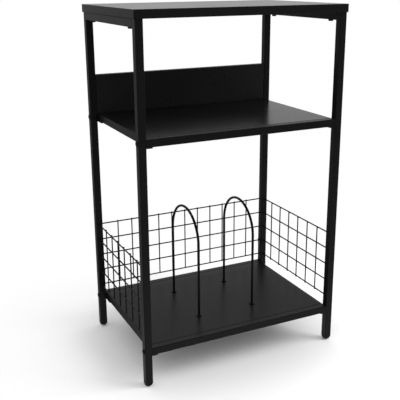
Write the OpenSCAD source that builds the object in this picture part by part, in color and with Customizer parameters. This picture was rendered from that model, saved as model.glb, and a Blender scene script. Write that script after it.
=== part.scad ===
// Turntable stand: an open square-tube frame with three boards, a low back panel,
// wire mesh guards and two bent-rod record dividers.
// The origin is on the floor under the middle of the stand. X is the width, the front faces -Y, Z is up.

/* [Frame] */
// Width over the outer faces of the posts
frame_w = 495; // [450:1:640]
// Depth over the outer faces of the posts
frame_d = 336; // [300:1:420]
// Height of the top board's upper face above the floor
overall_h = 815; // [760:1:950]
// Side of the square steel tube
tube_w = 17; // [16:0.5:20]
// Wall of the square steel tube
tube_wall = 1.2; // [1:0.1:1.6]
// Outer corner radius of the square steel tube
tube_corner = 1.6; // [1.3:0.1:2.4]

/* [Boards] */
// Thickness of the top board
top_board_t = 18; // [15:1:25]
// How far the top board stands out past the posts
top_overhang = 2.5; // [0:0.5:20]
// Corner radius of the top board in plan
top_corner = 2; // [1:0.5:6]
// Radius that the edges of every board are eased to
board_edge_r = 0.8; // [0.3:0.1:1]
// Height of the middle crossbars' upper faces above the floor
mid_bar_h = 561; // [500:1:590]
// Height of the low crossbars' upper faces above the floor
low_bar_h = 94; // [80:1:130]
// Thickness of both shelf boards
shelf_t = 17; // [15:0.5:20]
// Gap between a shelf board's side edge and the inner face of a post
shelf_side_gap = 1; // [0.3:0.1:3]
// Gap between a shelf board and the crossbars in front of and behind it
shelf_bar_gap = 0.3; // [0.1:0.1:1]
// Height of the back panel above the middle shelf
panel_h = 92; // [50:1:150]
// Thickness of the back panel
panel_t = 15; // [9:0.5:16]
// Gap between each end of the back panel and a rear post
panel_end_gap = 0.5; // [0.2:0.1:2]

/* [Wire mesh guards] */
// Diameter of the level wires, which carry the guard
level_wire_d = 3.2; // [2.5:0.1:4]
// Diameter of the upright wires welded to them
upright_wire_d = 3; // [2:0.1:3.5]
// Number of level wires in each guard
mesh_rows = 5; // [3:1:7]
// Spacing of the level wires
mesh_row_pitch = 41; // [30:0.5:45]
// How far an upright wire sinks into a level wire at a weld
weld_sink = 0.5; // [0.3:0.1:0.9]
// Height of the lowest level wire above the low crossbars
mesh_rise = 21; // [15:0.5:40]
// Number of upright wires in the back guard
back_mesh_columns = 11; // [5:1:11]
// Spacing of the upright wires in the back guard
back_column_pitch = 37.4; // [25:0.1:38]
// Number of upright wires in each side guard
side_mesh_columns = 6; // [3:1:6]
// Spacing of the upright wires in the side guards
side_column_pitch = 42.6; // [25:0.1:45]

/* [Record dividers] */
// Diameter of the bent rod
divider_rod_d = 6; // [5:0.5:8]
// Distance between the two legs of a divider
divider_leg_spacing = 149; // [100:1:180]
// Height of a divider above the low shelf, to the top of the rod
divider_h = 256; // [200:1:300]
// Distance between the two dividers
divider_spacing = 145; // [100:1:180]
// Diameter of the flat collar round each leg
collar_d = 13; // [11:0.5:18]
// Height of the flat collar
collar_h = 2.5; // [1.5:0.5:5]
// Width of the leg nuts across their flats
nut_flats = 10; // [9:0.5:13]
// Height of the leg nuts
nut_h = 5; // [3:0.5:7]
// Diameter of the washer under each leg
washer_d = 16; // [13:0.5:24]
// Thickness of the washer
washer_t = 1.2; // [0.8:0.1:2.5]

/* [Feet] */
// Height of the square collar that shows under the post
foot_collar_h = 3; // [2:0.5:8]
// Height of the dome under the collar
foot_dome_h = 14; // [10:0.5:20]
// Diameter of the flat that meets the floor
foot_pad_d = 7; // [4:0.5:10]
// Length of the ribbed plug inside the post
foot_plug_l = 22; // [12:1:30]
// Thickness of the plug's ribs
foot_rib_t = 2; // [1.5:0.1:3]

/* [Bolts and screws] */
// Diameter of the bolts that hold the crossbars
bolt_d = 6; // [5:0.5:6.5]
// Head diameter of those bolts
bolt_head_d = 12; // [10:0.5:14]
// Head height of those bolts
bolt_head_h = 1.8; // [1.5:0.1:3]
// Width across the flats of the bolt's key socket
bolt_key = 4; // [3:0.5:4.5]
// Length of the threaded plug in each end of a crossbar
insert_l = 16; // [10:1:30]
// Diameter of the wood screws
screw_d = 4; // [3:0.5:5]
// Head diameter of the wood screws
screw_head_d = 11; // [8:0.5:11]
// Head height of the wood screws
screw_head_h = 2.4; // [1.6:0.1:3]
// Length of the cross that drives a screw
cross_l = 4.5; // [3:0.5:5]
// Width of each arm of that cross
cross_w = 1; // [0.6:0.1:1.4]
// Share of the head's height that the cross is deep
cross_share = 0.65; // [0.4:0.05:0.7]
// Depth that a wood screw reaches into a board
screw_bite = 12; // [8:0.5:14]
// Distance of the top board screws from the nearest post
top_screw_inset = 30; // [15:1:80]
// Distance of the back panel screws from the ends of the panel
panel_screw_inset = 60; // [20:1:120]

/* [Corner plates and tabs] */
// Distance of a corner plate from the outer face of its crossbar
plate_set_back = 1.5; // [0:0.5:5]
// Width of a corner plate along the crossbar
plate_w = 14; // [12:0.5:24]
// Depth of a corner plate, from under the crossbar to under the board
plate_d = 42; // [36:1:60]
// Thickness of a corner plate
plate_t = 2.5; // [2:0.1:4]
// Corner radius of the plates and tabs
plate_corner = 2; // [1:0.5:4]
// Height of a tab that fixes the back guard to a post
tab_h = 16; // [12:1:24]
// Width of that tab
tab_w = 13; // [10:0.5:15]
// Thickness of that tab
tab_t = 1.5; // [1:0.1:2]
// Diameter of the screw through a tab
tab_screw_d = 3.5; // [3:0.5:4]
// Head diameter of that screw
tab_screw_head_d = 7; // [6:0.5:8]
// Head height of that screw
tab_screw_head_h = 1.8; // [1.2:0.1:2.5]
// Length of that screw under its head
tab_screw_l = 9; // [6:1:12]

/* [Clearances] */
// Gap all round a thread in what it is screwed into
thread_gap = 0.1; // [0.05:0.05:0.15]
// Gap all round a bolt, screw or leg in its hole
hole_gap = 0.25; // [0.1:0.05:0.5]
// Gap between a plug and the inside of the tube
plug_gap = 0.1; // [0.05:0.05:0.3]

/* [Hidden] */
$fn = 48;

steel_black = [0.09, 0.09, 0.09];
board_black = [0.16, 0.16, 0.16];
wire_black = [0.06, 0.06, 0.06];
plastic_black = [0.05, 0.05, 0.05];
zinc = [0.70, 0.71, 0.72];

// A cut runs this far past the face that it opens
past = 1;

// Levels, from the floor up
post_foot_z = foot_dome_h + foot_collar_h;
post_top_z = overall_h - top_board_t;
low_board_z = low_bar_h - tube_w;
low_board_top = low_board_z + shelf_t;
mid_board_z = mid_bar_h - tube_w;

// Middle of the posts, and the clear bay between them
post_x = (frame_w - tube_w) / 2;
post_y = (frame_d - tube_w) / 2;
bay_w = frame_w - 2 * tube_w;
bay_d = frame_d - 2 * tube_w;

// Inside of the tube, and what is pushed into it
tube_inner = tube_w - 2 * tube_wall;
tube_inner_corner = max(tube_corner - tube_wall, 0.3);
plug_w = tube_inner - 2 * plug_gap;

// Holes that a bolt, screw or leg passes, and bores that a thread grips
bolt_hole_d = bolt_d + 2 * hole_gap;
bolt_bore_d = bolt_d + 2 * thread_gap;
screw_hole_d = screw_d + 2 * hole_gap;
screw_bore_d = screw_d + 2 * thread_gap;
tab_hole_d = tab_screw_d + 2 * hole_gap;
leg_hole_d = divider_rod_d + 2 * hole_gap;
leg_bore_d = divider_rod_d + 2 * thread_gap;

// Corner plates: middle of a plate across the stand, and its screw
plate_post_gap = 0.3;
plate_x = bay_w / 2 - plate_post_gap - plate_w / 2;
plate_y = frame_d / 2 - plate_set_back - plate_d / 2;
plate_screw_y = (frame_d / 2 - plate_set_back - plate_d + bay_d / 2) / 2;

// Wire guards
mesh_z = low_bar_h + mesh_rise;
mesh_h = (mesh_rows - 1) * mesh_row_pitch;
upright_offset = (level_wire_d + upright_wire_d) / 2 - weld_sink;
tab_row = 1;
tab_wire_z = mesh_z + tab_row * mesh_row_pitch;
tab_edge = 4;
tab_margin = 1;
tab_screw_z = tab_wire_z + tab_edge - tab_h + tab_screw_head_d / 2 + tab_margin;

// Record dividers
leg_y = divider_leg_spacing / 2;
leg_stub = 2;
leg_low_z = low_board_z - washer_t - nut_h - leg_stub;
arch_z = low_board_top + divider_h - divider_rod_d / 2 - leg_y;

// Shapes shared by several pieces

// Rectangle with true arc corners, centred
module rounded_rectangle(w, d, r) {
    square([w, d - 2 * r], center = true);
    square([w - 2 * r, d], center = true);
    for (x = [-1, 1], y = [-1, 1])
        translate([x * (w / 2 - r), y * (d / 2 - r)]) circle(r = r);
}

// Board lying on the origin, its edges eased all round and its corners rounded in plan
module board(w, d, t, corner_r) {
    intersection() {
        linear_extrude(t) rounded_rectangle(w, d, corner_r);
        translate([-w / 2, 0, t / 2]) point_x(1) linear_extrude(w)
            rounded_rectangle(t, d, board_edge_r);
        translate([0, d / 2, t / 2]) rotate([90, 0, 0]) linear_extrude(d)
            rounded_rectangle(w, t, board_edge_r);
    }
}

// Length of square tube standing on the origin
module tube(length) {
    linear_extrude(length) difference() {
        rounded_rectangle(tube_w, tube_w, tube_corner);
        rounded_rectangle(tube_inner, tube_inner, tube_inner_corner);
    }
}

// Turns what is drawn along +Z so that it points along +X or -X
module point_x(side) {
    rotate([0, side * 90, 0]) children();
}

// Draws the child in each of the four corners, mirrored so that it always faces the same way
module four_corners() {
    for (x = [0, 1], y = [0, 1])
        mirror([x, 0, 0]) mirror([0, y, 0]) children();
}

// Low domed head that grows along +Z from the origin
module domed_head(d, h, rim_h) {
    rise = h - rim_h;
    dome_r = (d * d / 4 + rise * rise) / (2 * rise);
    intersection() {
        cylinder(d = d, h = h);
        translate([0, 0, h - dome_r]) sphere(r = dome_r);
    }
}

// Domed head with a cross recess in its top
module crossed_head(d, h) {
    difference() {
        domed_head(d, h, h / 3);
        for (turn = [0, 90])
            rotate([0, 0, turn]) translate([-cross_l / 2, -cross_w / 2, h * (1 - cross_share)])
                cube([cross_l, cross_w, h]);
    }
}

// Wood screw with its head under the origin and its point along +Z
module wood_screw(length) {
    point_l = screw_d;
    mirror([0, 0, 1]) crossed_head(screw_head_d, screw_head_h);
    cylinder(d = screw_d, h = length - point_l);
    translate([0, 0, length - point_l]) cylinder(d1 = screw_d, d2 = screw_d / 8, h = point_l);
}

// Blind bore that a wood screw cuts up into a board
module screw_bore() {
    translate([0, 0, -past]) cylinder(d = screw_bore_d, h = screw_bite + 2 * past);
}

// Boards

module top_board() {
    color(board_black) translate([0, 0, post_top_z]) difference() {
        board(frame_w + 2 * top_overhang, frame_d + 2 * top_overhang, top_board_t, top_corner);
        top_screw_places() screw_bore();
    }
}

// Board between two crossbars, with bores for the screws in its corner plates
module shelf_board() {
    difference() {
        board(bay_w - 2 * shelf_side_gap, bay_d - 2 * shelf_bar_gap, shelf_t, board_edge_r);
        four_corners() translate([plate_x, plate_screw_y, 0]) screw_bore();
    }
}

module mid_shelf_board() {
    color(board_black) translate([0, 0, mid_board_z]) shelf_board();
}

module low_shelf_board() {
    color(board_black) translate([0, 0, low_board_z]) difference() {
        shelf_board();
        leg_places() translate([0, 0, -past]) cylinder(d = leg_hole_d, h = shelf_t + 2 * past);
    }
}

module back_panel() {
    color(board_black) difference() {
        translate([0, post_y, mid_bar_h])
            board(bay_w - 2 * panel_end_gap, panel_t, panel_h, board_edge_r);
        panel_screw_places() translate([0, 0, mid_bar_h]) screw_bore();
    }
}

// Frame

// Post drilled right through for the bolts of the middle and low crossbars
module post() {
    difference() {
        translate([0, 0, post_foot_z]) tube(post_top_z - post_foot_z);
        for (z = [low_bar_h - tube_w / 2, mid_bar_h - tube_w / 2])
            translate([-tube_w / 2 - past, 0, z]) point_x(1)
                cylinder(d = bolt_hole_d, h = tube_w + 2 * past);
    }
}

// Rear post, with one more hole in its inner wall for the guard's tab; side is the side it stands on
module rear_post(side) {
    color(steel_black) translate([side * post_x, post_y, 0]) difference() {
        post();
        translate([0, 0, tab_screw_z]) point_x(-side) cylinder(d = tab_hole_d, h = tube_w / 2 + past);
    }
}

module front_left_post() {
    color(steel_black) translate([-post_x, -post_y, 0]) post();
}

module front_right_post() {
    color(steel_black) translate([post_x, -post_y, 0]) post();
}

module rear_left_post() {
    rear_post(-1);
}

module rear_right_post() {
    rear_post(1);
}

// Rail welded between the tops of the posts of one side, drilled for the top board's screws
module top_rail(side) {
    color(steel_black) difference() {
        translate([side * post_x, -bay_d / 2, post_top_z - tube_w / 2])
            rotate([-90, 0, 0]) tube(bay_d);
        top_screw_places() translate([0, 0, post_top_z - tube_w - past])
            cylinder(d = screw_hole_d, h = tube_w + 2 * past);
    }
}

module left_top_rail() {
    top_rail(-1);
}

module right_top_rail() {
    top_rail(1);
}

// Crossbar between two posts; row is -1 at the front and 1 at the rear
module crossbar(row, top_z) {
    translate([-bay_w / 2, row * post_y, top_z - tube_w / 2]) point_x(1) tube(bay_w);
}

module mid_front_crossbar() {
    color(steel_black) crossbar(-1, mid_bar_h);
}

module mid_rear_crossbar() {
    color(steel_black) difference() {
        crossbar(1, mid_bar_h);
        panel_screw_places() translate([0, 0, mid_board_z - past])
            cylinder(d = screw_hole_d, h = tube_w + 2 * past);
    }
}

module low_front_crossbar() {
    color(steel_black) crossbar(-1, low_bar_h);
}

module low_rear_crossbar() {
    color(steel_black) crossbar(1, low_bar_h);
}

// Wire mesh guards

// Guard in the XZ plane, its level wires on Y = 0 and its uprights welded behind them.
// Wires named in short_rows end one tab's thickness sooner, against a tab.
module wire_guard(width, columns, column_pitch, short_rows) {
    for (row = [0 : mesh_rows - 1]) {
        short = len(search(row, short_rows)) > 0 ? tab_t : 0;
        translate([-width / 2 + short, 0, row * mesh_row_pitch]) point_x(1)
            cylinder(d = level_wire_d, h = width - 2 * short);
    }
    for (column = [0 : columns - 1])
        translate([(column - (columns - 1) / 2) * column_pitch, upright_offset, -level_wire_d / 2])
            cylinder(d = upright_wire_d, h = mesh_h + level_wire_d);
}

// Guard between the front and rear post of one side, its uprights welded on the side of the records
module side_guard(side) {
    color(wire_black) translate([side * post_x, 0, mesh_z]) rotate([0, 0, side * 90])
        wire_guard(bay_d, side_mesh_columns, side_column_pitch, []);
}

module left_mesh() {
    side_guard(-1);
}

module right_mesh() {
    side_guard(1);
}

module back_mesh() {
    color(wire_black) translate([0, post_y, mesh_z])
        wire_guard(bay_w, back_mesh_columns, back_column_pitch, [tab_row]);
}

// Tab on the inner face of a rear post, drawn at the origin with its wire at the origin's height
module guard_tab() {
    difference() {
        translate([0, 0, tab_edge - tab_h / 2]) point_x(1) linear_extrude(tab_t)
            rounded_rectangle(tab_h, tab_w, plate_corner);
        translate([-past, 0, tab_screw_z - tab_wire_z]) point_x(1)
            cylinder(d = tab_hole_d, h = tab_t + 2 * past);
    }
}

module back_mesh_tabs() {
    color(steel_black) for (x = [0, 1])
        mirror([x, 0, 0]) translate([-bay_w / 2, post_y, tab_wire_z]) guard_tab();
}

module back_mesh_screws() {
    color(zinc) for (x = [0, 1])
        mirror([x, 0, 0]) translate([-bay_w / 2 + tab_t, post_y, tab_screw_z]) {
            point_x(1) crossed_head(tab_screw_head_d, tab_screw_head_h);
            point_x(-1) cylinder(d = tab_screw_d, h = tab_screw_l);
        }
}

// Record dividers

// Rod bent into a half circle on two straight legs
module divider(side) {
    color(wire_black) translate([side * divider_spacing / 2, 0, 0]) {
        for (y = [-leg_y, leg_y])
            translate([0, y, leg_low_z]) cylinder(d = divider_rod_d, h = arch_z - leg_low_z);
        translate([0, 0, arch_z]) rotate([90, 0, 90])
            rotate_extrude(angle = 180) translate([leg_y, 0]) circle(d = divider_rod_d);
    }
}

module left_divider() {
    divider(-1);
}

module right_divider() {
    divider(1);
}

// Places of the four divider legs
module leg_places() {
    four_corners() translate([divider_spacing / 2, leg_y, 0]) children();
}

module divider_collars() {
    color(wire_black) leg_places() translate([0, 0, low_board_top])
        rotate_extrude() difference() {
            translate([leg_bore_d / 2, 0]) square([(collar_d - leg_bore_d) / 2, collar_h]);
            translate([collar_d / 2, collar_h]) circle(r = collar_h / 3);
        }
}

module divider_washers() {
    color(zinc) leg_places() translate([0, 0, low_board_z - washer_t])
        linear_extrude(washer_t) difference() {
            circle(d = washer_d);
            circle(d = leg_hole_d);
        }
}

module divider_nuts() {
    color(zinc) leg_places() translate([0, 0, low_board_z - washer_t - nut_h])
        linear_extrude(nut_h) difference() {
            circle(d = nut_flats / cos(30), $fn = 6);
            circle(d = leg_bore_d);
        }
}

// Feet

// Quarter ellipse of the dome, from the rim of its flat pad out to the corners of the tube
function dome_profile(steps) =
    let (reach = tube_w * sqrt(2) / 2, first = asin(foot_pad_d / 2 / reach))
    let (scale_z = foot_dome_h / cos(first))
    [for (i = [0 : steps]) let (a = first + (90 - first) * i / steps)
        [reach * sin(a), foot_dome_h - scale_z * cos(a)]];

// Plug for the end of a post: dome, square collar and a ribbed shank that grips the tube
module foot() {
    fins = 3;
    fin_h = 1.5;
    core_w = plug_w - 2 * foot_rib_t;
    color(plastic_black) {
        intersection() {
            linear_extrude(foot_dome_h) rounded_rectangle(tube_w, tube_w, tube_corner);
            rotate_extrude() polygon(concat([[0, foot_dome_h], [0, 0]], dome_profile(12)));
        }
        translate([0, 0, foot_dome_h]) linear_extrude(foot_collar_h)
            rounded_rectangle(tube_w, tube_w, tube_corner);
        translate([0, 0, post_foot_z]) linear_extrude(foot_plug_l) {
            square([core_w, foot_rib_t], center = true);
            square([foot_rib_t, core_w], center = true);
        }
        for (i = [1 : fins])
            translate([0, 0, post_foot_z + foot_plug_l * i / fins - fin_h]) linear_extrude(fin_h)
                rounded_rectangle(plug_w, plug_w, tube_inner_corner);
    }
}

module front_left_foot() {
    translate([-post_x, -post_y, 0]) foot();
}

module front_right_foot() {
    translate([post_x, -post_y, 0]) foot();
}

module rear_left_foot() {
    translate([-post_x, post_y, 0]) foot();
}

module rear_right_foot() {
    translate([post_x, post_y, 0]) foot();
}

// Corner plates, bolts, plugs and screws

// Four plates, welded under the crossbars whose underside is at z, that carry a board's corners
module corner_plates(z) {
    color(steel_black) four_corners() translate([plate_x, plate_y, z - plate_t])
        difference() {
            linear_extrude(plate_t) rounded_rectangle(plate_w, plate_d, plate_corner);
            translate([0, plate_screw_y - plate_y, -past])
                cylinder(d = screw_hole_d, h = plate_t + 2 * past);
        }
}

module mid_corner_plates() {
    corner_plates(mid_board_z);
}

module low_corner_plates() {
    corner_plates(low_board_z);
}

// Four bolts through the posts into the ends of the crossbars whose upper face is at top_z
module frame_bolts(top_z) {
    socket_depth = bolt_head_h + bolt_d / 6;
    color(steel_black) four_corners() translate([frame_w / 2, post_y, top_z - tube_w / 2])
        difference() {
            union() {
                point_x(1) domed_head(bolt_head_d, bolt_head_h, bolt_head_h / 3);
                point_x(-1) cylinder(d = bolt_d, h = tube_w + insert_l);
            }
            translate([bolt_head_h + past, 0, 0]) point_x(-1)
                cylinder(d = bolt_key / cos(30), h = socket_depth + past, $fn = 6);
        }
}

module mid_frame_bolts() {
    frame_bolts(mid_bar_h);
}

module low_frame_bolts() {
    frame_bolts(low_bar_h);
}

// Four threaded plugs in the ends of the crossbars whose upper face is at top_z
module bar_inserts(top_z) {
    color(zinc) four_corners() translate([bay_w / 2, post_y, top_z - tube_w / 2])
        point_x(-1) linear_extrude(insert_l) difference() {
            rounded_rectangle(plug_w, plug_w, tube_inner_corner);
            circle(d = bolt_bore_d);
        }
}

module mid_bar_inserts() {
    bar_inserts(mid_bar_h);
}

module low_bar_inserts() {
    bar_inserts(low_bar_h);
}

// Four screws up through the corner plates under the board whose underside is at z
module shelf_screws(z) {
    color(zinc) four_corners() translate([plate_x, plate_screw_y, z - plate_t])
        wood_screw(plate_t + screw_bite);
}

module mid_shelf_screws() {
    shelf_screws(mid_board_z);
}

module low_shelf_screws() {
    shelf_screws(low_board_z);
}

// Places of the screws up through the top rails
module top_screw_places() {
    four_corners() translate([post_x, bay_d / 2 - top_screw_inset, 0]) children();
}

module top_board_screws() {
    color(zinc) top_screw_places() translate([0, 0, post_top_z - tube_w])
        wood_screw(tube_w + screw_bite);
}

// Places of the screws up through the middle rear crossbar
module panel_screw_places() {
    for (x = [0, 1])
        mirror([x, 0, 0]) translate([bay_w / 2 - panel_screw_inset, post_y, 0]) children();
}

module panel_screws() {
    color(zinc) panel_screw_places() translate([0, 0, mid_board_z])
        wood_screw(tube_w + screw_bite);
}

top_board();
mid_shelf_board();
low_shelf_board();
back_panel();
front_left_post();
front_right_post();
rear_left_post();
rear_right_post();
left_top_rail();
right_top_rail();
mid_front_crossbar();
mid_rear_crossbar();
low_front_crossbar();
low_rear_crossbar();
left_mesh();
right_mesh();
back_mesh();
left_divider();
right_divider();
divider_collars();
divider_washers();
divider_nuts();
front_left_foot();
front_right_foot();
rear_left_foot();
rear_right_foot();
mid_corner_plates();
low_corner_plates();
mid_frame_bolts();
low_frame_bolts();
mid_bar_inserts();
low_bar_inserts();
mid_shelf_screws();
low_shelf_screws();
top_board_screws();
panel_screws();
back_mesh_tabs();
back_mesh_screws();
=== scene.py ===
import math

import bmesh
import bpy
import numpy as np
from mathutils import Matrix, Vector


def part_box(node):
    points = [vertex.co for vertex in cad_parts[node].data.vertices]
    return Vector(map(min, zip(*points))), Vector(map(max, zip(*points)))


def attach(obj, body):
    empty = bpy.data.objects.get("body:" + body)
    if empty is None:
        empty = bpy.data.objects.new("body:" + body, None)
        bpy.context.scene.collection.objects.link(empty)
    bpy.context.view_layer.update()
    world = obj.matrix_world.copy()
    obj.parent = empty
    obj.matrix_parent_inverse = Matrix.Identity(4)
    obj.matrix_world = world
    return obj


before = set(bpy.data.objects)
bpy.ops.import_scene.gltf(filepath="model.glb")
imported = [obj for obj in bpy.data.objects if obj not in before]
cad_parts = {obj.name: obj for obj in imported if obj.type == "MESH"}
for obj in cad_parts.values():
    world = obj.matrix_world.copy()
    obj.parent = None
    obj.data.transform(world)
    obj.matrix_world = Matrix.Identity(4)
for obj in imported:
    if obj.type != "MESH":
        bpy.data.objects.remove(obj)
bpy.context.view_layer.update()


# The view, a little above the top board and to the left of the front, as in the photograph.
# Its place, lens and shift come from lining up the edges of the stand with the photograph.
photo_width, sensor_width = 400, 36
camera_place = (-0.7232, -1.4425, 0.8718)
yaw, pitch, roll = (math.radians(angle) for angle in (25.606, -16.332, -0.382))
focal_pixels, shift_pixels = 697.94, -18

ahead = Vector((math.sin(yaw) * math.cos(pitch),
                math.cos(yaw) * math.cos(pitch),
                math.sin(pitch)))
level_right = ahead.cross(Vector((0, 0, 1))).normalized()
level_up = level_right.cross(ahead)
picture_right = math.cos(roll) * level_right + math.sin(roll) * level_up
picture_up = math.cos(roll) * level_up - math.sin(roll) * level_right
turned = Matrix((picture_right, picture_up, -ahead)).transposed()

camera = bpy.data.objects.new("camera", bpy.data.cameras.new("camera"))
bpy.context.scene.collection.objects.link(camera)
camera.matrix_world = Matrix.Translation(camera_place) @ turned.to_4x4()
camera.data.sensor_width = sensor_width
camera.data.lens = focal_pixels / photo_width * sensor_width
camera.data.shift_y = shift_pixels / photo_width
camera.data.clip_start = 0.05
camera.data.clip_end = 60
bpy.context.scene.camera = camera
bpy.context.scene.view_settings.view_transform = "Standard"


# Square steel tube, welded and bolted into the frame of the stand, then powder coated black.
# The coat is satin, with the fine orange peel that the powder leaves as it flows and sets.
class Tone:
    """A socket in the nodes of a finish. Sums with numbers or other tones add Math nodes."""

    def __init__(self, finish, socket):
        self.finish = finish
        self.socket = socket

    def __add__(self, other):
        return self.finish.maths("ADD", self, other)

    def __sub__(self, other):
        return self.finish.maths("SUBTRACT", self, other)

    def __rsub__(self, other):
        return self.finish.maths("SUBTRACT", other, self)

    def __mul__(self, other):
        return self.finish.maths("MULTIPLY", self, other)

    __radd__ = __add__
    __rmul__ = __mul__


class Finish:
    """The nodes of one material, or of the world when its tree is given."""

    def __init__(self, name, tree=None):
        if tree is None:
            self.material = bpy.data.materials.new(name)
            self.material.use_nodes = True
            tree = self.material.node_tree
        tree.nodes.clear()
        self.tree = tree

    def node(self, kind, settings=None, values=None, output=0):
        """Adds a node, sets it up, then fills its sockets with tones or plain values."""
        made = self.tree.nodes.new(kind)
        for name, setting in (settings or {}).items():
            setattr(made, name, setting)
        for name, value in (values or {}).items():
            if isinstance(value, Tone):
                self.tree.links.new(value.socket, made.inputs[name])
            else:
                made.inputs[name].default_value = value
        return Tone(self, made.outputs[output])

    def maths(self, operation, *values):
        """One Math node on up to three tones or numbers."""
        return self.node("ShaderNodeMath", {"operation": operation}, dict(enumerate(values)))

    def place(self):
        """Where a point is on the stand, in metres."""
        return self.node("ShaderNodeTexCoord", output="Object")

    def grain(self, place, size, detail=2.0):
        """Soft random spots about size metres across, from 0 to 1."""
        return self.node("ShaderNodeTexNoise", {},
                         {"Vector": place, "Scale": 1 / size, "Detail": detail})

    def between(self, share, low, high):
        """A colour that goes from low to high as share goes from 0 to 1."""
        return self.node("ShaderNodeMix", {"data_type": "RGBA"},
                         {0: share, 6: (*low, 1), 7: (*high, 1)}, output=2)

    def raised(self, height, depth):
        """Surface direction over a relief that is depth metres high where height is 1."""
        return self.node("ShaderNodeBump", {},
                         {"Height": height, "Strength": 1.0, "Distance": depth})

    def end(self, kind, shader):
        """Links the finished shader to the output of the tree."""
        self.tree.links.new(shader.socket, self.tree.nodes.new(kind).inputs["Surface"])

    def surface(self, colour, roughness, relief, **constants):
        """Puts the finish on its surface and hands back the material."""
        values = {"Base Color": colour, "Roughness": roughness, "Normal": relief}
        values.update({name.replace("_", " "): value for name, value in constants.items()})
        self.end("ShaderNodeOutputMaterial", self.node("ShaderNodeBsdfPrincipled", {}, values))
        return self.material


def dress(names, material):
    """Gives these pieces of the model their material."""
    for name in names:
        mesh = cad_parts[name].data
        mesh.materials.clear()
        mesh.materials.append(material)


powder = Finish("black_powder_coat")
spot = powder.place()
peel = powder.grain(spot, size=0.0016)
haze = powder.grain(spot, size=0.045, detail=3.0)
powder_coat = powder.surface(
    colour=powder.between(haze, low=(0.0045, 0.0045, 0.0047), high=(0.0065, 0.0065, 0.0067)),
    roughness=0.34 + 0.08 * haze,
    relief=powder.raised(peel, depth=0.00006),
    Specular_IOR_Level=0.2)

dress(["front_left_post", "front_right_post", "rear_left_post", "rear_right_post",
       "left_top_rail", "right_top_rail", "mid_front_crossbar", "mid_rear_crossbar",
       "low_front_crossbar", "low_rear_crossbar", "mid_corner_plates", "low_corner_plates",
       "back_mesh_tabs"], powder_coat)


# Welds of the frame: a bead under each end of the top rails, where they meet the posts, and a
# short one beside each corner plate under its crossbar. Laid drop by drop, then powder coated.
def tube_faces(rings, around):
    """Faces of a tube of rings, closed by one more point at each end, listed after the rings."""
    ring, turn = np.meshgrid(np.arange(rings - 1), np.arange(around), indexing="ij")
    here = ring * around + turn
    beside = ring * around + (turn + 1) % around
    sides = np.stack([here, beside, beside + around, here + around], -1).reshape(-1, 4)
    start = np.stack([beside[0], here[0], np.full(around, rings * around)], -1)
    last = (rings - 1) * around
    end = np.stack([here[0] + last, beside[0] + last, np.full(around, rings * around + 1)], -1)
    return [sides, np.concatenate([start, end])]


def repeated(name, rings, ends, places, axes, material, slot):
    """A piece of like closed shells. A point of the shell goes to the place of each shell, plus
    the point's three numbers times that shell's three axes."""
    widest_smooth_turn = math.radians(38)
    shape = np.concatenate([rings.reshape(-1, 3), np.array(ends, float)])
    points = np.array(places, float)[:, None, :] + shape @ np.array(axes, float)
    first = np.arange(len(points))[:, None, None] * len(shape)
    faces = []
    for kind in tube_faces(*rings.shape[:2]):
        faces += (kind + first).reshape(-1, kind.shape[1]).tolist()
    mesh = bpy.data.meshes.new(name)
    mesh.from_pydata(points.reshape(-1, 3).tolist(), [], faces)
    shell = bmesh.new()
    shell.from_mesh(mesh)
    bmesh.ops.recalc_face_normals(shell, faces=shell.faces)
    shell.to_mesh(mesh)
    shell.free()
    mesh.shade_smooth()
    mesh.set_sharp_from_angle(angle=widest_smooth_turn)
    mesh.materials.append(material)
    piece = bpy.data.objects.new(name, mesh)
    bpy.context.scene.collection.objects.link(piece)
    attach(piece, "root")


def every(*lists):
    """All points whose numbers come from these lists, one row each."""
    return np.stack(np.meshgrid(*lists, indexing="ij"), -1).reshape(-1, len(lists))


def bead(length, leg):
    """A weld bead in an inside corner. Its size swells by a tenth at each drop and falls to
    nothing at both ends. Across, it bulges from one wall to the other, with its root sunk in."""
    drop_pitch, thinnest, swell = 0.0017, 0.92, 0.1
    root_depth, end_steepness = 0.0003, 6
    along = np.linspace(-0.49, 0.49, 41)[:, None] * length
    drop = np.abs(np.sin(np.pi * along / drop_pitch))
    ends = np.sqrt(1 - (2 * along / length) ** end_steepness)
    size = leg * ends * (thinnest + swell * drop)
    turn = np.radians(np.array([-8, 12, 30, 45, 60, 78, 98]))
    root = np.full_like(along, -root_depth)
    first = np.concatenate([size * np.cos(turn), root], 1)
    second = np.concatenate([size * np.sin(turn), root], 1)
    rings = np.stack([np.broadcast_to(along, first.shape), first, second], -1)
    return rings, [(-length / 2, 0, 0), (length / 2, 0, 0)]


post_x, rail_end_y, rail_bottom = 0.239, 0.151, 0.780
rail_ends = every([-post_x, post_x], [-rail_end_y, rail_end_y], [rail_bottom])
repeated("rail_welds", *bead(length=0.0145, leg=0.0014), rail_ends,
         [[(1, 0, 0), (0, 0, -1), (0, -np.sign(y), 0)] for x, y, z in rail_ends],
         powder_coat, "frame_steel")

plate_edge_x, plate_weld_y, crossbar_bottoms = 0.2162, 0.15875, [0.077, 0.544]
plate_edges = every([-plate_edge_x, plate_edge_x], [-plate_weld_y, plate_weld_y],
                    crossbar_bottoms)
repeated("plate_welds", *bead(length=0.0125, leg=0.0018), plate_edges,
         [[(0, 1, 0), (-np.sign(x), 0, 0), (0, 0, -1)] for x, y, z in plate_edges],
         powder_coat, "frame_steel")


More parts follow.
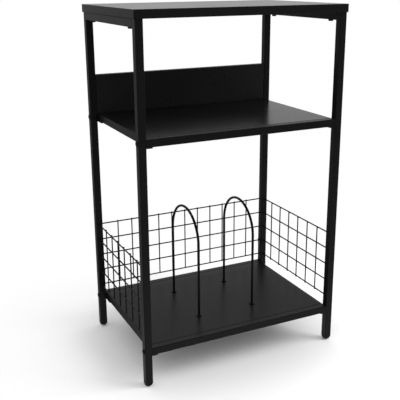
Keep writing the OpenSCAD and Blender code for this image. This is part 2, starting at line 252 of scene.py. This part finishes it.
# Top board, shelves and back panel: particle board under a black melamine sheet, edges banded.
# The pressed sheet has a fine pebble grain. Each band is more matt, with a hairline by the rim.
def melamine(name, low, high, upright, darkest, palest, smoothest):
    """Black melamine for a board that lies between the corners low and high. The hairline runs
    a little inside the sides of the faces, and the band is all that lies between both faces."""
    seam_inset, seam_half_width, face_depth = 0.0012, 0.00008, 0.0006
    board = Finish(name)
    spot = board.place()
    pebble = board.grain(spot, size=0.0011, detail=3.0)
    cloud = board.grain(spot, size=0.12, detail=4.0)
    split = board.node("ShaderNodeSeparateXYZ", {}, {"Vector": spot}).socket.node
    xyz = [Tone(board, socket) for socket in split.outputs]
    middle = [(start + end) / 2 for start, end in zip(low, high)]
    half = [(end - start) / 2 for start, end in zip(low, high)]
    thin, sides = (1, (0, 2)) if upright else (2, (0, 1))
    lines = [board.maths("COMPARE", board.maths("ABSOLUTE", xyz[axis] - middle[axis]),
                         half[axis] - seam_inset, seam_half_width) for axis in sides]
    seam = board.maths("MAXIMUM", *lines)
    band = board.maths("COMPARE", xyz[thin], middle[thin], half[thin] - face_depth)
    return board.surface(
        colour=board.between(cloud, darkest, palest),
        roughness=smoothest + 0.07 * cloud + 0.04 * seam + 0.13 * band,
        relief=board.raised(pebble - 0.4 * seam, depth=0.00002),
        Specular_IOR_Level=0.15)


for name, smoothest in (("top_board", 0.19), ("mid_shelf_board", 0.19),
                        ("low_shelf_board", 0.30)):
    dress([name], melamine(name + "_melamine", *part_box(name), upright=False,
                           darkest=(0.0052, 0.0052, 0.0054),
                           palest=(0.0080, 0.0080, 0.0082), smoothest=smoothest))
# The back panel's black is painted paler than the other boards': painted light, standing in for
# the brighter light that falls on it inside the bays.
dress(["back_panel"], melamine("back_panel_melamine_painted_paler", *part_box("back_panel"), upright=True,
                               darkest=(0.0085, 0.0085, 0.0087),
                               palest=(0.0120, 0.0120, 0.0122), smoothest=0.24))


# Wire guards and bent-rod dividers: drawn steel wire, welded and then powder coated.
# The coat runs thinner and a little smoother on wire than on the tubes.
wire = Finish("black_coated_wire")
spot = wire.place()
drawn = wire.grain(spot, size=0.0009)
run = wire.grain(spot, size=0.02, detail=3.0)
coated_wire = wire.surface(
    colour=wire.between(run, low=(0.0035, 0.0035, 0.0037), high=(0.0055, 0.0055, 0.0057)),
    roughness=0.3 + 0.08 * run,
    relief=wire.raised(drawn, depth=0.00004),
    Specular_IOR_Level=0.15)

dress(["left_mesh", "right_mesh", "back_mesh", "left_divider", "right_divider",
       "divider_collars"], coated_wire)


# Crossings of the guards: both wires are pressed together hot, so they sink into each other and
# the metal squeezed out stands as a small lens between them, fullest in the four corners.
def round_shell(turn, reach, rise, start, end):
    """Rings of points about an axis, and two points on the axis that close them. Each point
    lies at its reach from the axis, at its angle of turn, and as far along as its rise."""
    across = reach * np.cos(turn)
    rings = np.stack([across, reach * np.sin(turn), np.broadcast_to(rise, across.shape)], -1)
    return rings, [(0, 0, start), (0, 0, end)]


level_heights = 0.115 + 0.041 * np.arange(5)
side_uprights = 0.0426 * (np.arange(6) - 2.5)
back_uprights = 0.0374 * (np.arange(11) - 5.0)
side_guard_x, back_guard_y = 0.23765, 0.16085
side_crossings = every([-side_guard_x, side_guard_x], side_uprights, level_heights)
back_crossings = every(back_uprights, [back_guard_y], level_heights)

lens_radius, lens_half_depth, corner_share = 0.00238, 0.00125, 0.13
turn = np.radians(np.arange(0, 360, 30))
slope = np.radians([-62, -25, 25, 62])[:, None]
reach = lens_radius * (1 - corner_share * np.cos(4 * turn)) * np.cos(slope)
rise = lens_half_depth * np.sin(slope)
repeated("guard_crossing_welds",
         *round_shell(turn, reach, rise, -lens_half_depth, lens_half_depth),
         np.concatenate([side_crossings, back_crossings]),
         [[(0, 1, 0), (0, 0, 1), (1, 0, 0)]] * len(side_crossings)
         + [[(1, 0, 0), (0, 0, 1), (0, 1, 0)]] * len(back_crossings),
         coated_wire, "wire")


# Ends of the guards: each level wire of a side guard is welded to the post that it meets, and
# the long wire of the back guard to its two screwed tabs, with a hollow collar of weld metal.
tab_x, crossbar_y = 0.229, 0.1595
side_ends = every([-post_x, post_x], [-rail_end_y, rail_end_y], level_heights)
tab_ends = every([-tab_x, tab_x], [crossbar_y], level_heights[1:2])

turn = np.radians(np.arange(0, 360, 24))
reach = np.array([0.0030, 0.0029, 0.0023, 0.0019, 0.0017, 0.0012])[:, None]
rise = np.array([-0.0002, 0.0001, 0.0004, 0.0009, 0.0015, 0.0018])[:, None]
repeated("guard_end_welds", *round_shell(turn, reach, rise, -0.0002, 0.0018),
         np.concatenate([side_ends, tab_ends]),
         [[(1, 0, 0), (0, 0, 1), (0, -np.sign(y), 0)] for x, y, z in side_ends]
         + [[(0, 1, 0), (0, 0, 1), (-np.sign(x), 0, 0)] for x, y, z in tab_ends],
         coated_wire, "wire")


# Threaded ends of the divider legs: two turns of thread stand out under each nut below the low
# board. Rolled on the rod before it was bent and coated.
leg_x, leg_y = 0.0725, 0.0745
thread_bottom, thread_top, thread_pitch = 0.06875, 0.0709, 0.001
root_radius, thread_depth = 0.00302, 0.00022
legs = every([-leg_x, leg_x], [-leg_y, leg_y], [0.0])

# The thread is a ridge, highest where height and turn together have gone half a pitch.
turn = np.radians(np.arange(0, 360, 15))
rise = np.linspace(thread_bottom, thread_top, 18)[:, None]
phase = (rise / thread_pitch - turn / (2 * np.pi)) % 1
reach = root_radius + thread_depth * (1 - np.abs(2 * phase - 1))
repeated("leg_threads", *round_shell(turn, reach, rise, thread_bottom, thread_top), legs,
         [np.eye(3)] * len(legs), coated_wire, "wire")


# Feet: plugs moulded in black polyethylene, with a spark-eroded texture on the dome.
# The pads are scuffed a little paler, and a hairline shows where each plug meets its tube.
scuff_height, plug_rim, rim_half_width = 0.004, 0.01685, 0.0002
foot = Finish("moulded_foot")
spot = foot.place()
spark = foot.grain(spot, size=0.0007, detail=3.0)
height = foot.node("ShaderNodeSeparateXYZ", {}, {"Vector": spot}, output=2)
scuff = foot.node("ShaderNodeMapRange", {},
                  {"Value": height, "From Min": 0.0, "From Max": scuff_height,
                   "To Min": 1.0, "To Max": 0.0})
rim = foot.maths("COMPARE", height, plug_rim, rim_half_width)
moulded_foot = foot.surface(
    colour=foot.between(scuff * spark,
                        low=(0.0055, 0.0055, 0.0056), high=(0.030, 0.030, 0.029)),
    roughness=0.38 + 0.12 * spark,
    relief=foot.raised(spark - 6 * rim, depth=0.00004),
    Specular_IOR_Level=0.2)
dress(["front_left_foot", "front_right_foot", "rear_left_foot", "rear_right_foot"],
      moulded_foot)


# Frame bolts: low domed socket heads in blackened steel, on the outer faces of the posts.
# The oxide is darker than the powder coat, oily and finely mottled.
oxide = Finish("black_oxide")
spot = oxide.place()
mottle = oxide.grain(spot, size=0.0018, detail=4.0)
black_oxide = oxide.surface(
    colour=oxide.between(mottle, low=(0.0045, 0.0045, 0.0048), high=(0.0085, 0.0082, 0.0080)),
    roughness=0.3 + 0.15 * mottle,
    relief=oxide.raised(mottle, depth=0.00002),
    Specular_IOR_Level=0.2)
dress(["mid_frame_bolts", "low_frame_bolts"], black_oxide)

post_face_x, bolt_heights = 0.2475, [0.0855, 0.5525]
key_half_width, sixth = 0.0020, math.pi / 3
bolts = every([-post_face_x, post_face_x], [-crossbar_y, crossbar_y], bolt_heights)

# Profile of a head from its rim over the dome, then down the six flats of the key's socket.
turn = np.radians(np.arange(0, 360, 7.5))
flats = key_half_width / np.cos((turn + sixth / 2) % sixth - sixth / 2)
dome = np.array([0.00610, 0.00618, 0.00612, 0.00580, 0.00510, 0.00410, 0.00310])[:, None]
reach = np.concatenate([dome + 0 * turn, [flats + 0.00012, flats, flats]])
rise = np.array([-0.0001, 0.0006, 0.0010, 0.0015, 0.0020, 0.0023, 0.00243,
                 0.00245, 0.0023, 0.0010])[:, None]
repeated("frame_bolt_heads", *round_shell(turn, reach, rise, -0.0001, 0.0010), bolts,
         [[(0, 1, 0), (0, 0, 1), (np.sign(x), 0, 0)] for x, y, z in bolts],
         black_oxide, "bolt")


# Heads of the top board's screws: tall pan heads under the top rails, in the same black oxide.
# Each is pressed in one piece with its screw, which goes up through the rail into the board.
def cross_reach(turn, half_length, half_width):
    """How far a cross reaches at each angle: the further of its two bars, where each bar ends at
    the nearer of its end and its side."""
    least = 1e-9
    level, upright = np.abs(np.cos(turn)) + least, np.abs(np.sin(turn)) + least
    return np.maximum(np.minimum(half_length / level, half_width / upright),
                      np.minimum(half_width / level, half_length / upright))


screw_y = 0.121
screws = every([-post_x, post_x], [-screw_y, screw_y], [rail_bottom])

# Profile of a head from under its rim over the top, then down the cross for the driver.
turn = np.radians(np.arange(0, 360, 6) + 3)
cross = cross_reach(turn, half_length=0.0022, half_width=0.0005)
side = np.array([0.00565, 0.00575, 0.0057, 0.0053, 0.0046, 0.0038, 0.0030])[:, None]
reach = np.concatenate([side + 0 * turn, [cross + 0.0001, cross, cross]])
rise = np.array([-0.0001, 0.0006, 0.0022, 0.0031, 0.0036, 0.0039, 0.0040,
                 0.0040, 0.0038, 0.0030])[:, None]
repeated("top_screw_heads", *round_shell(turn, reach, rise, -0.0001, 0.0030), screws,
         [[(1, 0, 0), (0, 1, 0), (0, 0, -1)]] * len(screws), black_oxide, "bolt")


# Screws, nuts, washers and threaded plugs: bright zinc plate over steel.
# Plating leaves a faint blue cast and a fine cloudy grain.
zinc = Finish("zinc_plate")
spot = zinc.place()
crystal = zinc.grain(spot, size=0.0012, detail=4.0)
zinc_plate = zinc.surface(
    colour=zinc.between(crystal, low=(0.40, 0.42, 0.44), high=(0.56, 0.57, 0.58)),
    roughness=0.26 + 0.14 * crystal,
    relief=zinc.raised(crystal, depth=0.00002),
    Metallic=1.0)
dress(["divider_washers", "divider_nuts", "mid_bar_inserts", "low_bar_inserts",
       "mid_shelf_screws", "low_shelf_screws", "top_board_screws", "panel_screws",
       "back_mesh_screws"], zinc_plate)


# Studio floor: matt white, in one sheet with the backdrop. Near the stand it takes the shadow,
# and further out it runs into plain white, where the camera and reflections see no edge.
def ray_kinds(finish):
    """Three tones, each 1 for its kind of ray: seen by the camera, mirrored, or through glass."""
    outputs = finish.node("ShaderNodeLightPath").socket.node.outputs
    return [Tone(finish, outputs[kind])
            for kind in ("Is Camera Ray", "Is Glossy Ray", "Is Transmission Ray")]


def eased(finish, value, low, high, at_low, at_high):
    """A tone that eases from at_low to at_high as the value goes from low to high."""
    return finish.node("ShaderNodeMapRange", {"interpolation_type": "SMOOTHSTEP"},
                       {"Value": value, "From Min": low, "From Max": high,
                        "To Min": at_low, "To Max": at_high})


floor_half_width, floor_level = 12.0, -0.0002
corners = np.array([(-1, -1), (1, -1), (1, 1), (-1, 1)]) * floor_half_width
floor_mesh = bpy.data.meshes.new("floor")
floor_mesh.from_pydata([(x, y, floor_level) for x, y in corners.tolist()], [],
                       [(0, 1, 2, 3)])
floor = bpy.data.objects.new("floor", floor_mesh)
bpy.context.scene.collection.objects.link(floor)

white, floor_white = (1, 1, 1, 1), (0.88, 0.88, 0.88, 1)
paper = Finish("white_floor")
spot = paper.place()
is_camera, is_glossy, is_clear = ray_kinds(paper)
seen = is_camera + is_clear

# The sheet as the camera sees it: matt with its shadow near the stand, lifted a little by a
# painted glow as the shadow ends, and plain white far out.
from_middle = paper.node("ShaderNodeVectorMath", {"operation": "LENGTH"}, {0: spot}, output=1)
lifted = eased(paper, from_middle, low=0.2, high=0.4, at_low=0.0, at_high=0.118)
far = eased(paper, from_middle, low=0.35, high=0.7, at_low=0.0, at_high=1.0)
matt = paper.node("ShaderNodeBsdfDiffuse", {}, {"Color": floor_white})
lift = paper.node("ShaderNodeEmission", {}, {"Color": white, "Strength": lifted * seen})
near = paper.node("ShaderNodeAddShader", {}, {0: matt, 1: lift})

# The sheet as the stand mirrors it: darker towards the front, with a pale spot by the feet.
forwards = paper.node("ShaderNodeVectorMath", {"operation": "DOT_PRODUCT"},
                      {0: spot, 1: (0.0, -1.0, 0.0)}, output=1)
mirrored = eased(paper, forwards, low=0.0, high=2.4, at_low=0.27, at_high=0.08)
from_front = paper.node("ShaderNodeVectorMath", {"operation": "DISTANCE"},
                        {0: spot, 1: (0.0, -0.35, 0.0)}, output=1)
lit_front = eased(paper, from_front, low=0.15, high=0.8, at_low=0.24, at_high=0.0)
plain = paper.node("ShaderNodeEmission", {},
                   {"Color": white, "Strength": seen + is_glossy * (mirrored + lit_front)})
sheet = paper.node("ShaderNodeMixShader", {},
                   {0: is_glossy + far * seen, 1: near, 2: plain})
paper.end("ShaderNodeOutputMaterial", sheet)
floor.data.materials.append(paper.material)


# Studio light: white walls behind and to the right, darker in front and to the left, so that
# faces which look there stay near black. A big soft lamp at the right front throws the shadow.
world = bpy.data.worlds.new("studio")
bpy.context.scene.world = world
world.use_nodes = True
studio = Finish("studio", world.node_tree)
is_camera, is_glossy, is_clear = ray_kinds(studio)
seen = is_camera + is_clear
facing = studio.node("ShaderNodeTexCoord", output="Generated")


def wall_tone(direction, low, high, at_low, at_high):
    """A tone that eases from at_low to at_high as one looks more and more along a direction."""
    share = studio.node("ShaderNodeVectorMath", {"operation": "DOT_PRODUCT"},
                        {0: facing, 1: direction}, output=1)
    return eased(studio, share, low, high, at_low, at_high)


towards_front = wall_tone((0.0, -1.0, 0.0), low=-0.3, high=0.7, at_low=0.76, at_high=0.05)
left_to_right = wall_tone((1.0, 0.0, 0.0), low=-0.5, high=0.2, at_low=0.56, at_high=1.0)
upwards = wall_tone((0.0, 0.0, 1.0), low=0.1, high=0.5, at_low=1.0, at_high=0.78)
wall = towards_front * left_to_right * upwards
soft_level = 0.97
soft = soft_level * (1 - seen - is_glossy)
backdrop = studio.node("ShaderNodeBackground", {},
                       {"Color": white, "Strength": seen + is_glossy * wall + soft})
studio.end("ShaderNodeOutputWorld", backdrop)

# The lamp lights the stand and its floor, but nothing mirrors it.
lamp_place, lamp_aim = Vector((1.6, -1.1, 1.6)), Vector((0.0, 0.0, 0.1))
lamp_width, lamp_power = 1.2, 24.8
softbox = bpy.data.lights.new("right_lamp", "AREA")
softbox.shape = "RECTANGLE"
softbox.size, softbox.size_y = lamp_width, lamp_width
softbox.energy = lamp_power
softbox.specular_factor = 0.0
lamp = bpy.data.objects.new("right_lamp", softbox)
bpy.context.scene.collection.objects.link(lamp)
lamp.location = lamp_place
lamp.rotation_mode = "QUATERNION"
lamp.rotation_quaternion = (lamp_aim - lamp_place).to_track_quat("-Z", "Y")
lamp.visible_camera = False
lamp.visible_glossy = False
